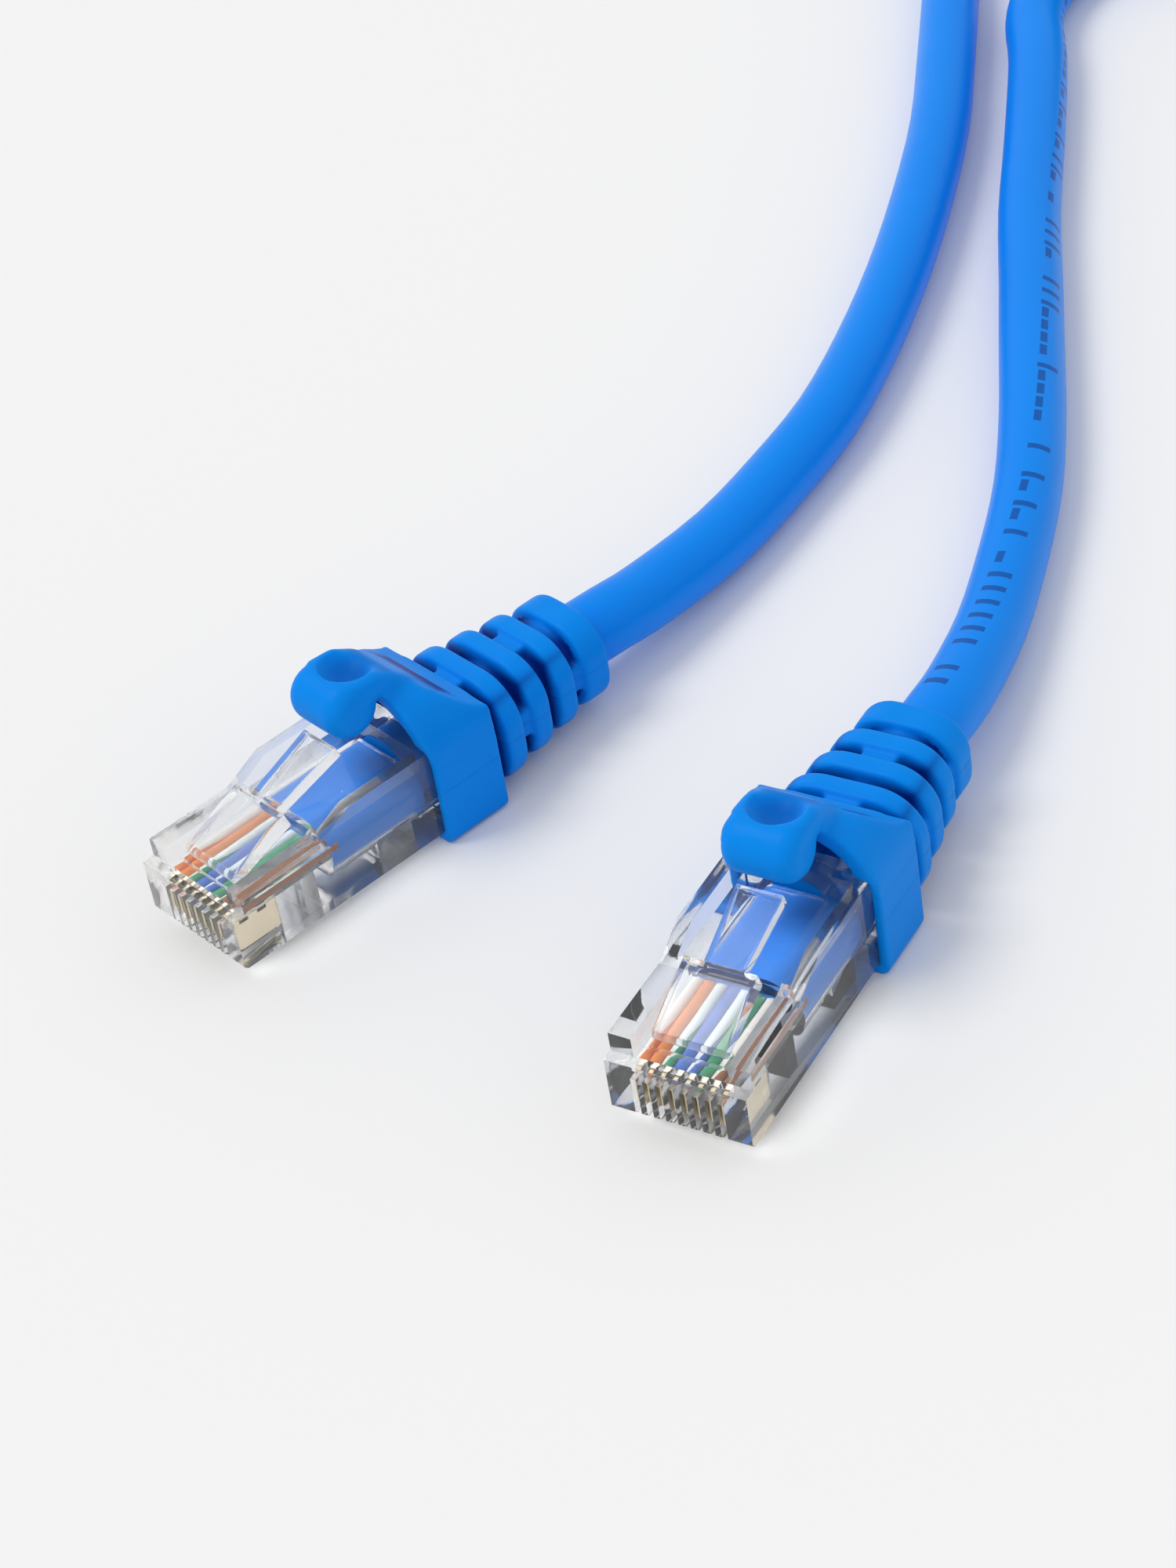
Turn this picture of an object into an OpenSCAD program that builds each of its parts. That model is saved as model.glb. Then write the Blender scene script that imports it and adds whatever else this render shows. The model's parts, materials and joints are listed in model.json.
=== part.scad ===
// Ethernet patch cable: two clear modular plugs with snagless boots and one
// round cable between them, its spare length wound into a coil on the table.
// Each plug is drawn in its own frame (x across, y from the nose towards the
// cable, z up from the contact side) and is then set down on the table.

/* [Plug] */
// Width of the plug across its side walls
plug_w = 11.68; // [10:0.01:14.1]
// Length of the plug from its nose to its rear edge
plug_l = 22.5; // [18.7:0.1:27]
// Height of the nose, which enters the socket
nose_h = 6.6; // [5.9:0.05:7.2]
// Height of the side walls behind the nose
body_h = 8.3; // [7.8:0.05:10]
// Height of the ledge on the front face
ledge_h = 4.9; // [4.7:0.05:5.4]
// How far the upper nose stands back from the front face
ledge_d = 1.1; // [0.9:0.05:1.4]
// Thickness of the rails along the top of the side walls
rail_t = 1.15; // [0.9:0.05:1.4]
// Thickness of the floor under the cable jacket
floor_t = 0.9; // [0.7:0.05:1.1]

/* [Contacts and conductors] */
// Number of contact blades and conductors
contact_n = 8; // [4:1:8]
// Distance from one contact to the next
contact_pitch = 1.02; // [0.9:0.01:1.1]
// Thickness of a contact blade
blade_t = 0.35; // [0.28:0.01:0.42]
// Width of the slot that holds a blade
slot_w = 0.5; // [0.46:0.01:0.6]
// Diameter of an insulated conductor
wire_d = 0.95; // [0.76:0.01:1]
// Height of the conductors' row above the contact side
wire_z = 4.1; // [3.9:0.05:4.2]

/* [Latch] */
// Width of the latch between its shoulders and its root
latch_w = 6.1; // [5:0.05:7.3]
// Width of the latch's tail
tail_w = 3.3; // [2.7:0.05:4]
// Thickness of the latch arm
latch_t = 1.1; // [0.9:0.05:1.3]
// Length of the latch from its hinge to its shoulders
shoulder_l = 6.0; // [5:0.1:7.2]
// Length of the latch from its hinge to the end of its tail
latch_l = 12.9; // [10.8:0.1:13.2]
// Angle at which the latch stands off the plug at rest
latch_rise = 19; // [17:0.5:19.5]

/* [Cable] */
// Outside diameter of the cable's jacket
jacket_d = 6.0; // [5:0.1:6.4]
// Height of the cable's axis above the contact side
cable_z = 4.1; // [3.8:0.05:4.3]
// Width of the jacket where the plug squeezes it flat
pressed_w = 8.0; // [6.7:0.1:8.4]
// Distance from the nose to the cut end of the jacket
jacket_start = 10.8; // [10.2:0.1:12]

/* [Boot] */
// Thickness of the collar's walls beside the plug
collar_side = 0.85; // [0.7:0.05:1.1]
// Length of the boot's collar
collar_l = 6.4; // [5.6:0.1:7.7]
// Thickness of the collar's floor, on which the plug stands
collar_floor = 1.0; // [0.8:0.05:1.2]
// Thickness of the collar's roof above the plug
collar_roof = 1.3; // [1.1:0.05:1.6]
// Length of the plug's rear end that the collar covers
collar_grip = 1.75; // [1.5:0.05:2.1]
// Thickness of each strain relief rib
rib_l = 2.0; // [1.7:0.1:2.4]
// Gap between two ribs
rib_gap = 1.3; // [1.1:0.1:1.6]
// Number of ribs between the collar and the end ring
rib_n = 3; // [2:1:4]
// Length of the end ring
end_ring_l = 2.8; // [2.4:0.1:3.4]
// Width of the first rib
rib_w = 12.4; // [11:0.1:12.8]
// Width of the end ring
end_ring_w = 9.4; // [8.6:0.1:11]

/* [Boot hood] */
// Width of the hood's tongue
hood_w = 6.4; // [5.6:0.1:8]
// Radius of the round bulb at the hood's tip
bulb_r = 2.5; // [2.1:0.1:3]
// Distance from the end of the latch's tail back to the middle of the bulb
bulb_back = 2; // [1.6:0.1:2.6]

/* [Hidden] */
// How far a node's cutting shapes run past the faces that they cut
eps = 0.1;
// Clearance between pieces that move against each other
move_gap = 0.2;
// Clearance around the wires and around the squeezed jacket
fit_gap = 0.05;

// Placing on the table: nose of plug A, its turn about z, and nose of plug B
plug_a_at = [-23.5, -17.976];
plug_a_turn = -18;
plug_b_at = [22.354, -22.61];
plug_b_turn = 0;

// Nose
nose_l = 9;
ramp_l = 3.5;
trench_gap = 0.9;
trench_w = latch_w + 2 * trench_gap;
trench_z = 5.0;
deck_z = 6.4;
deck_start = 10;
comb_d = 2.2;

// Conductors and contacts
wire_start = 1.3;
wire_row_w = contact_n * contact_pitch + 2 * fit_gap;
wire_row_h = wire_d + 2 * fit_gap;
slot_l = 5.0;
slot_top = wire_z - wire_row_h / 2;
blade_front = 0.45;
blade_foot = 0.55;
blade_r = 0.9;
tine_h = 0.6;

// Clamps that hold the conductors and the jacket from the contact side
wire_clamp_y = [7.4, 8.8];
jacket_clamp_y = [plug_l - 7.3, plug_l - 3.7];
jacket_clamp_w = pressed_w - 0.2;
jacket_clamp_h = 2.1;

// Jacket inside the plug
pressed_h = 4.8;
pressed_z = floor_t + fit_gap + pressed_h / 2;
pressed_end = plug_l - 2.0;
mouth_start = plug_l - 2.5;

// Latch hinge at the top of the nose
latch_y = 3.0;
latch_z = nose_h - latch_t / 2 - 0.05;
shoulder_t = latch_t + 0.5;

// Boot, from the front of its collar to the face where the cable comes out
collar_w = plug_w + 2 * collar_side;
collar_y = plug_l - collar_grip;
collar_top = body_h + collar_roof;
collar_h = collar_top + collar_floor;
collar_r = 2.6;
ribs_y = collar_y + collar_l;
rib_pitch = rib_gap + rib_l;
end_ring_y = ribs_y + rib_n * rib_pitch + rib_gap;
boot_end = end_ring_y + end_ring_l;
rib_h = 2 * (cable_z + collar_floor) - 0.2;
end_ring_h = 0.9 * end_ring_w;
top_web_w = 3.0;
side_web_h = 2.4;

// Hood: a tongue that hinges on the collar's roof and ends in a bulb, which
// stays clear of the top corner at the end of the latch's tail
hood_root_y = collar_y + 4.6;
hood_root_z = collar_top + 0.1;
root_r = 0.9;
neck_r = 1.25;
cheek_t = 1.4;
cheek_h = 1.6;
bulb_gap = 0.8;
tail_y = latch_y + latch_l * cos(latch_rise) - latch_t / 2 * sin(latch_rise);
tail_z = latch_z + latch_l * sin(latch_rise) + latch_t / 2 * cos(latch_rise);
bulb_y = tail_y + bulb_back;
bulb_z = tail_z + sqrt(pow(bulb_r + bulb_gap, 2) - pow(bulb_back, 2));
hood_top = bulb_z + bulb_r;
neck_y = bulb_y + 2.4;
dimple_r = 7;
dimple_d = 0.8;

// Cable on the table: its routes are chosen points, then a coil of two layers
coil_at = [-18.72, 192.78];
coil_turn = 24;
coil_r = 29.7;
coil_bend = 24;
tube_sides = 12;
route_a = [
    [-8.5, 30, 4.2], [-7, 40, 3.3], [-6.5, 50, 3], [-6.5, 60, 3], [-8, 71, 3], [-10.5, 83, 3],
    [-14, 96, 3], [-18.5, 110, 3], [-24, 123.5, 3], [-29.5, 136.5, 3], [-35.5, 150, 3],
    [-41.5, 163.5, 3]
];
route_b = [
    [22, 27, 4.4], [20.5, 36, 3.4], [18, 46, 3], [15, 56, 3], [11, 66, 3], [6.5, 76, 3],
    [2, 86, 3], [-3, 97, 3], [-8, 109.5, 3], [-14, 124, 3]
];

// Conductor colours from pin 1 to pin 8
wire_colours = ["moccasin", "orange", "honeydew", "royalblue", "lightblue", "seagreen", "wheat", "saddlebrown"];

// ---------------------------------------------------------------- helpers

module at_plug(at, turn) {
    translate([at[0], at[1], collar_floor]) rotate([0, 0, turn]) children();
}

module at_plug_a() {
    at_plug(plug_a_at, plug_a_turn) children();
}

module at_plug_b() {
    at_plug(plug_b_at, plug_b_turn) children();
}

// A box given by its lowest and highest corners
module box(low, high) {
    translate(low) cube(high - low);
}

// A side outline in y and z, given a width across x
module across(w) {
    rotate([90, 0, 90]) linear_extrude(height = w, center = true) children();
}

// A front outline in x and z, given a stretch along y
module along(y0, y1) {
    translate([0, y1, 0]) rotate([90, 0, 0]) linear_extrude(height = y1 - y0) children();
}

// A round bar along y
module bar(d, y0, y1, z) {
    along(y0, y1) translate([0, z]) circle(d = d, $fn = 64);
}

// A rectangle with round corners, centred on the origin
module round_rect(w, h, r) {
    square([w - 2 * r, h], center = true);
    square([w, h - 2 * r], center = true);
    for (x = [-1, 1], z = [-1, 1])
        translate([x * (w / 2 - r), z * (h / 2 - r)]) circle(r = r, $fn = 48);
}

// Place across the row of contact i, counted from 1
function contact_x(i) = (i - (contact_n + 1) / 2) * contact_pitch;

// Where a point of a plug's own frame lies on the table
function placed(at, turn, p) = [
    at[0] + p[0] * cos(turn) - p[1] * sin(turn),
    at[1] + p[0] * sin(turn) + p[1] * cos(turn),
    p[2] + collar_floor
];

// ------------------------------------------------------------------- plug

module plug_outline() {
    polygon([
        [0, 0.3], [0.3, 0], [plug_l, 0], [plug_l, body_h], [nose_l + ramp_l, body_h],
        [nose_l, nose_h], [ledge_d, nose_h], [ledge_d, ledge_h], [0, ledge_h]
    ]);
}

// The open channel along the plug's top in which the latch moves
module latch_trench() {
    box([-trench_w / 2, -eps, ledge_h], [trench_w / 2, comb_d, body_h + eps]);
    box([-trench_w / 2, comb_d - eps, trench_z], [trench_w / 2, deck_start, body_h + eps]);
    box([-plug_w / 2 + rail_t, deck_start - eps, deck_z], [plug_w / 2 - rail_t, collar_y - 0.4, body_h + eps]);
}

module contact_slots() {
    for (i = [1:contact_n])
        translate([contact_x(i), 0, 0])
            box([-slot_w / 2, -eps, -eps], [slot_w / 2, slot_l, slot_top + eps]);
}

module jacket_cavity() {
    translate([0, 0, pressed_z])
        along(jacket_start, mouth_start + eps)
            round_rect(pressed_w + 2 * fit_gap, pressed_h + 2 * fit_gap, 2.2 + fit_gap);
    bar(jacket_d + 4 * fit_gap, mouth_start, plug_l + eps, cable_z);
    along(mouth_start, plug_l + eps)
        translate([0, pressed_z]) round_rect(pressed_w + 2 * fit_gap, pressed_h + 2 * fit_gap, 2.2 + fit_gap);
}

module jacket_clamp_outline() {
    polygon([
        [jacket_clamp_y[0], 0], [jacket_clamp_y[0], jacket_clamp_h - 0.7],
        [jacket_clamp_y[0] + 1.8, jacket_clamp_h], [jacket_clamp_y[1], jacket_clamp_h], [jacket_clamp_y[1], 0]
    ]);
}

module plug_housing() {
    color("gainsboro", 0.4) difference() {
        union() {
            difference() {
                across(plug_w) plug_outline();
                latch_trench();
            }
            // Seat of the latch's hinge
            box([-latch_w / 2, comb_d - eps, trench_z - eps],
                [latch_w / 2, latch_y + latch_t / 2, latch_z - latch_t / 2 - fit_gap]);
        }
        contact_slots();
        // Flat channel for the row of conductors
        box([-wire_row_w / 2, wire_start, slot_top],
            [wire_row_w / 2, jacket_start + eps, slot_top + wire_row_h]);
        box([-wire_row_w / 2, wire_clamp_y[0], -eps],
            [wire_row_w / 2, wire_clamp_y[1], slot_top + eps]);
        jacket_cavity();
        box([-jacket_clamp_w / 2, jacket_clamp_y[0], -eps],
            [jacket_clamp_w / 2, jacket_clamp_y[1], jacket_clamp_h]);
    }
}

module wire_clamp() {
    color("gainsboro", 0.4)
        box([-wire_row_w / 2, wire_clamp_y[0], 0], [wire_row_w / 2, wire_clamp_y[1], slot_top]);
}

module jacket_clamp() {
    color("gainsboro", 0.4) across(jacket_clamp_w) jacket_clamp_outline();
}

module contact(i) {
    color("gold") translate([contact_x(i), 0, 0]) across(blade_t) difference() {
        union() {
            translate([blade_front + blade_r, blade_foot + blade_r]) circle(r = blade_r, $fn = 48);
            translate([blade_front, blade_foot + blade_r])
                square([slot_l - blade_front, slot_top - blade_foot - blade_r]);
            translate([blade_front + blade_r, blade_foot])
                square([slot_l - blade_front - blade_r, slot_top - blade_foot]);
        }
        // Gaps between the tines that pierce the conductor
        for (y = [blade_front + blade_r, blade_front + 3 * blade_r])
            translate([y, slot_top - tine_h]) square([blade_r, tine_h + eps]);
    }
}

module conductor(i) {
    color(wire_colours[i - 1])
        translate([contact_x(i), 0, 0]) bar(wire_d, wire_start, jacket_start, wire_z);
}

module jacket_end() {
    color("dodgerblue") difference() {
        union() {
            translate([0, 0, pressed_z])
                along(jacket_start, pressed_end) round_rect(pressed_w, pressed_h, 2.2);
            bar(jacket_d, pressed_end - eps, boot_end, cable_z);
        }
        // Dent that the clamp presses into the jacket
        across(jacket_clamp_w + eps) jacket_clamp_outline();
    }
}

// ------------------------------------------------------------------ latch

// Children drawn along the latch's arm, from its hinge
module on_latch() {
    translate([0, latch_y, latch_z]) rotate([latch_rise, 0, 0]) children();
}

module latch() {
    color("gainsboro", 0.4) on_latch() {
        rotate([0, 90, 0]) cylinder(d = latch_t, h = latch_w, center = true, $fn = 48);
        across(latch_w) polygon([
            [0, -latch_t / 2], [shoulder_l, -latch_t / 2],
            [shoulder_l, shoulder_t - latch_t / 2], [shoulder_l - 2, shoulder_t - latch_t / 2], [0, latch_t / 2]
        ]);
        linear_extrude(height = latch_t, center = true) polygon([
            [-tail_w / 2, shoulder_l - eps], [tail_w / 2, shoulder_l - eps],
            [tail_w / 2 + 0.35, latch_l], [-tail_w / 2 - 0.35, latch_l]
        ]);
    }
}

// ------------------------------------------------------------------- boot

module collar_outline() {
    translate([0, (collar_top - collar_floor) / 2]) round_rect(collar_w, collar_h, collar_r);
}

module rib_outline(w, h) {
    translate([0, cable_z]) round_rect(w, h, 0.42 * h);
}

// Width and height of rib i, counted from 0 at the collar
function rib_part(i) = i / rib_n;
function rib_width(i) = rib_w + (end_ring_w - rib_w) * rib_part(i);
function rib_height(i) = rib_h + (end_ring_h - rib_h) * rib_part(i);

// Webs across gap i: above and below the cable, or at its two sides, in turn
module rib_webs(i) {
    y0 = ribs_y + i * rib_pitch - eps;
    y1 = y0 + rib_gap + 2 * eps;
    along(y0, y1) translate([0, cable_z])
        if (i % 2 == 0) square([top_web_w, rib_height(i) - 1], center = true);
        else square([rib_width(i) - 1, side_web_h], center = true);
}

module boot() {
    color("deepskyblue") difference() {
        union() {
            along(collar_y, ribs_y) collar_outline();
            // Cheeks that stand up beside the hood
            for (x = [-1, 1])
                translate([x * (hood_w / 2 + move_gap + cheek_t / 2), 0, 0])
                    across(cheek_t) polygon([
                        [collar_y + 0.6, collar_top - 2], [collar_y + 0.6, collar_top + cheek_h],
                        [collar_y + 2.4, collar_top + cheek_h], [ribs_y, collar_top - 1], [ribs_y, collar_top - 2]
                    ]);
            for (i = [0:rib_n - 1])
                along(ribs_y + i * rib_pitch + rib_gap, ribs_y + (i + 1) * rib_pitch)
                    rib_outline(rib_width(i), rib_height(i));
            along(end_ring_y, boot_end) rib_outline(end_ring_w, end_ring_h);
            for (i = [0:rib_n]) rib_webs(i);
        }
        // Socket for the plug's rear end, and the cable's bore
        box([-plug_w / 2, collar_y - eps, 0], [plug_w / 2, plug_l, body_h]);
        bar(jacket_d, plug_l - eps, boot_end + eps, cable_z);
        // Notch in the roof for the root of the hood
        box([-hood_w / 2 - move_gap, collar_y - eps, collar_top - collar_roof + 0.3],
            [hood_w / 2 + move_gap, hood_root_y + root_r + move_gap, collar_top + cheek_h + eps]);
    }
}

module hood_outline() {
    hull() {
        translate([hood_root_y, hood_root_z]) circle(r = root_r, $fn = 32);
        translate([neck_y, hood_top - neck_r]) circle(r = neck_r, $fn = 32);
    }
    hull() {
        translate([neck_y, hood_top - neck_r]) circle(r = neck_r, $fn = 32);
        translate([bulb_y, bulb_z]) circle(r = bulb_r, $fn = 48);
    }
}

module boot_hood() {
    color("deepskyblue") difference() {
        intersection() {
            across(hood_w) hood_outline();
            along(0, ribs_y) translate([0, hood_top / 2]) round_rect(hood_w, hood_top, 1.6);
        }
        // Thumb dimple
        translate([0, bulb_y + 1.6, hood_top - dimple_d + dimple_r]) sphere(r = dimple_r, $fn = 64);
    }
}

// ------------------------------------------------------------------ cable

function unit(v) = v / norm(v);

// Direction of the route at point i: the given one at the start
function heading(pts, i, start) =
    i == 0 ? start
    : i == len(pts) - 1 ? unit(pts[i] - pts[i - 1])
    : unit(unit(pts[i + 1] - pts[i]) + unit(pts[i] - pts[i - 1]));

function ring(p, dir, r) =
    let (side = unit(cross(dir, [0, 0, 1])), up = cross(side, dir))
    [for (k = [0:tube_sides - 1])
        let (a = 360 * (k + 0.5) / tube_sides) p + r * cos(a) * side + r * sin(a) * up];

// A tube swept along a route; each ring is one corner-centred polygon
module tube(pts, start, d) {
    n = len(pts);
    corners = [for (i = [0:n - 1]) each ring(pts[i], heading(pts, i, start), d / 2)];
    walls = [for (i = [0:n - 2], k = [0:tube_sides - 1])
        let (a = i * tube_sides + k, b = i * tube_sides + (k + 1) % tube_sides)
        [a, b, b + tube_sides, a + tube_sides]];
    first = [for (k = [tube_sides - 1:-1:0]) k];
    last = [for (k = [0:tube_sides - 1]) (n - 1) * tube_sides + k];
    polyhedron(points = corners, faces = concat(walls, [first, last]), convexity = 6);
}

// Way in which both leads run to the coil, and a point beside and along it
coil_dir = [-sin(coil_turn), cos(coil_turn)];
coil_side = [cos(coil_turn), sin(coil_turn)];
function by_coil(side, ahead, z) = [
    coil_at[0] + side * coil_side[0] + ahead * coil_dir[0],
    coil_at[1] + side * coil_side[1] + ahead * coil_dir[1],
    z
];
turn_r = coil_r + jacket_d / 2;
low_z = jacket_d / 2;
top_z = 1.5 * jacket_d;

module cable_lead_a() {
    exit = placed(plug_a_at, plug_a_turn, [0, boot_end, cable_z]);
    run_in = by_coil(-turn_r, -8, low_z);
    color("dodgerblue")
        tube(concat([exit], route_a, [run_in]), [-sin(plug_a_turn), cos(plug_a_turn), 0], jacket_d);
}

// Rise from the table to the coil's top layer over the last bend
function lift(a) = let (t = min(1, max(0, (70 - a) / 60))) low_z + (top_z - low_z) * t * t * (3 - 2 * t);

module cable_lead_b() {
    exit = placed(plug_b_at, plug_b_turn, [0, boot_end, cable_z]);
    bend = [for (a = [90:-15:15])
        by_coil(-coil_bend * sin(a), -turn_r - coil_bend * (1 - cos(a)), lift(a))];
    color("dodgerblue")
        tube(concat([exit], route_b, bend), [-sin(plug_b_turn), cos(plug_b_turn), 0], jacket_d);
}

module cable_coil() {
    color("dodgerblue") translate([coil_at[0], coil_at[1], jacket_d]) rotate_extrude($fn = 96)
        translate([coil_r, 0]) round_rect(2 * jacket_d, 2 * jacket_d, jacket_d / 2);
}

// ------------------------------------------------------------------ nodes

at_plug_a() plug_housing();  // plug_housing_a
at_plug_a() latch();  // latch_a
at_plug_a() wire_clamp();  // wire_clamp_a
at_plug_a() jacket_clamp();  // jacket_clamp_a
at_plug_a() jacket_end();  // jacket_end_a
at_plug_a() boot();  // boot_a
at_plug_a() boot_hood();  // boot_hood_a

at_plug_b() plug_housing();  // plug_housing_b
at_plug_b() latch();  // latch_b
at_plug_b() wire_clamp();  // wire_clamp_b
at_plug_b() jacket_clamp();  // jacket_clamp_b
at_plug_b() jacket_end();  // jacket_end_b
at_plug_b() boot();  // boot_b
at_plug_b() boot_hood();  // boot_hood_b

for (i = [1:contact_n]) {
    at_plug_a() contact(i);
    at_plug_b() contact(i);
    at_plug_a() conductor(i);
    at_plug_b() conductor(i);
}

cable_lead_a();
cable_lead_b();
cable_coil();
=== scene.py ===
"""Looks of an ethernet patch cable: two clear modular plugs in blue snagless boots, and the cable between them."""

import json
import logging
import math
from dataclasses import dataclass
from enum import Enum
from typing import Callable, Iterable, Sequence

import bmesh
import bpy
from mathutils import Matrix, Vector


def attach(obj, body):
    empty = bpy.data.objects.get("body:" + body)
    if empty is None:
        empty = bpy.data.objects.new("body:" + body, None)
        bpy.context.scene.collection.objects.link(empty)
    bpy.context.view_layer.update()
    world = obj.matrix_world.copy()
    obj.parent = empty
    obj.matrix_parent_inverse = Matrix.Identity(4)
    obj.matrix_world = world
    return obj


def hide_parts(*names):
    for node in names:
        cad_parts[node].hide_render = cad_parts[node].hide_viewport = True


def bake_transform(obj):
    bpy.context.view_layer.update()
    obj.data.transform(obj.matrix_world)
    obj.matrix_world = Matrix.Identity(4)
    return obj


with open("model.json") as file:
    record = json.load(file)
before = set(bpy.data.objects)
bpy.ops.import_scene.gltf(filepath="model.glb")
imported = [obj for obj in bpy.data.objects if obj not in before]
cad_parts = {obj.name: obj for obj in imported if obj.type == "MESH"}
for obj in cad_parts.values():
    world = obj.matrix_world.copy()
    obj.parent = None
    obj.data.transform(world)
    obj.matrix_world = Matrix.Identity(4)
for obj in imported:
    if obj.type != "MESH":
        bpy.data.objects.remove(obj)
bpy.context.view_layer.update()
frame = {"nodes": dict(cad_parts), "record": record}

log = logging.getLogger("patch_cable")

MM = 0.001
Point = Sequence[float]
Colour = tuple[float, float, float]


class Join(Enum):
    """How one solid changes another: it is added, it is cut away, or only what both share is kept."""

    ADD = "UNION"
    CUT = "DIFFERENCE"
    KEEP = "INTERSECT"


# ------------------------------------------------------------------ placing


@dataclass(frozen=True)
class Placing:
    """Where a plug's own frame lies: x across, y from nose to cable, z up from the contact side."""

    end: str
    nose: tuple[float, float]
    turn: float
    seat: float = 1.0 * MM

    @classmethod
    def of_plug(cls, end: str) -> "Placing":
        """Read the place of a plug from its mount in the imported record.

        Args:
            end: "a" or "b".

        Returns:
            The plug's placing.
        """
        mount = next(m for m in frame["record"]["mounts"] if m["name"] == f"plug_{end}")
        (x, y, _), (out_x, out_y, _) = mount["pos_m"], mount["axis"]
        return cls(end, (x, y), math.atan2(out_x, -out_y))

    def matrix(self) -> Matrix:
        """Give the matrix from the plug's millimetres to the row's metres."""
        spot = Matrix.Translation((*self.nose, self.seat))
        return spot @ Matrix.Rotation(self.turn, 4, "Z") @ Matrix.Scale(MM, 4)

    def point(self, x: float, y: float, z: float) -> Vector:
        """Give the place of a point of the plug's frame, in metres."""
        return self.matrix() @ Vector((x, y, z))


# ------------------------------------------------------------------- solids


class Form:
    """A closed solid, shaped in millimetres in a plug's own frame."""

    def __init__(self, bm: bmesh.types.BMesh | None = None) -> None:
        """Start from a bmesh, or from nothing."""
        self.bm = bm or bmesh.new()

    @classmethod
    def block(cls, low: Point, high: Point) -> "Form":
        """Make a box from its lowest and highest corners."""
        form = cls()
        made = bmesh.ops.create_cube(form.bm, size=1.0)["verts"]
        size = [h - l for l, h in zip(low, high)]
        bmesh.ops.scale(form.bm, vec=size, verts=made)
        bmesh.ops.translate(form.bm, vec=[(l + h) / 2 for l, h in zip(low, high)], verts=made)
        return form

    @classmethod
    def slab(cls, outline: Iterable[tuple[float, float]], half: float) -> "Form":
        """Make a plate from its side outline.

        Args:
            outline: its corners in y and z.
            half: half its width across x.

        Returns:
            The plate.
        """
        form = cls()
        corners = [form.bm.verts.new((-half, y, z)) for y, z in outline]
        face = form.bm.faces.new(corners)
        grown = bmesh.ops.extrude_face_region(form.bm, geom=[face])["geom"]
        moved = [v for v in grown if isinstance(v, bmesh.types.BMVert)]
        bmesh.ops.translate(form.bm, vec=(2 * half, 0, 0), verts=moved)
        bmesh.ops.recalc_face_normals(form.bm, faces=form.bm.faces)
        return form

    @classmethod
    def roller(cls, y: float, z: float, radius: float, half: float, lip: float) -> "Form":
        """Make a round bar across x with rounded ends.

        Args:
            y: its place along the plug.
            z: its height.
            radius: its radius.
            half: half its length.
            lip: the radius of its rounded ends.

        Returns:
            The bar.
        """
        form = cls()
        bmesh.ops.create_cone(form.bm, cap_ends=True, segments=48, radius1=radius, radius2=radius, depth=2 * half)
        rims = [e for e in form.bm.edges if abs(e.verts[0].co.z - e.verts[1].co.z) < 1e-6]
        form.soften(rims, lip, 6)
        bmesh.ops.rotate(form.bm, cent=(0, 0, 0), matrix=Matrix.Rotation(math.pi / 2, 3, "Y"), verts=form.bm.verts)
        bmesh.ops.translate(form.bm, vec=(0, y, z), verts=form.bm.verts)
        return form

    @classmethod
    def rod(cls, radius: float, y0: float, y1: float, z: float, x: float = 0.0) -> "Form":
        """Make a round bar along y."""
        form = cls()
        bmesh.ops.create_cone(form.bm, cap_ends=True, segments=48, radius1=radius, radius2=radius, depth=y1 - y0)
        bmesh.ops.rotate(form.bm, cent=(0, 0, 0), matrix=Matrix.Rotation(math.pi / 2, 3, "X"), verts=form.bm.verts)
        bmesh.ops.translate(form.bm, vec=(x, (y0 + y1) / 2, z), verts=form.bm.verts)
        return form

    @classmethod
    def ball(cls, centre: Point, radius: float) -> "Form":
        """Make a ball."""
        form = cls()
        made = bmesh.ops.create_uvsphere(form.bm, u_segments=48, v_segments=32, radius=radius)["verts"]
        bmesh.ops.translate(form.bm, vec=centre, verts=made)
        return form

    def soften(self, edges: Iterable[bmesh.types.BMEdge], radius: float, segments: int = 4) -> "Form":
        """Round some edges, and give the same form."""
        bmesh.ops.bevel(
            self.bm, geom=list(edges), offset=radius, offset_type="OFFSET", segments=segments,
            profile=0.5, affect="EDGES", clamp_overlap=True, material=-1,
        )
        return self

    def edges_along(self, axis: int, where: Callable[[Vector], bool] = lambda p: True) -> list[bmesh.types.BMEdge]:
        """Find the straight edges along an axis.

        Args:
            axis: 0, 1 or 2 for x, y or z.
            where: a test of an edge's middle.

        Returns:
            The edges.
        """
        found = []
        for e in self.bm.edges:
            run = e.verts[1].co - e.verts[0].co
            middle = (e.verts[0].co + e.verts[1].co) / 2
            if abs(run[axis]) > 0.999 * run.length and where(middle):
                found.append(e)
        return found

    def end_rims(self) -> list[bmesh.types.BMEdge]:
        """Find the edges round the two faces that look along x."""
        return [e for e in self.bm.edges if abs(e.verts[0].co.x - e.verts[1].co.x) < 1e-6]

    def mesh(self, name: str) -> bpy.types.Mesh:
        """Turn the form into a mesh, and let go of the bmesh."""
        mesh = bpy.data.meshes.new(name)
        self.bm.to_mesh(mesh)
        self.bm.free()
        return mesh

    def join(self, other: "Form", how: Join) -> "Form":
        """Change this solid with another.

        Args:
            other: the other solid, which is used up.
            how: what is done with it.

        Returns:
            The new solid.
        """
        base, tool = new_object("base", self.mesh("base")), new_object("tool", other.mesh("tool"))
        change = base.modifiers.new("join", "BOOLEAN")
        change.operation, change.object, change.solver = how.value, tool, "EXACT"
        bm = bmesh.new()
        bm.from_mesh(settled(base, "joined"))
        for old in (base, tool):
            bpy.data.objects.remove(old)
        return Form(bm)


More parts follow.
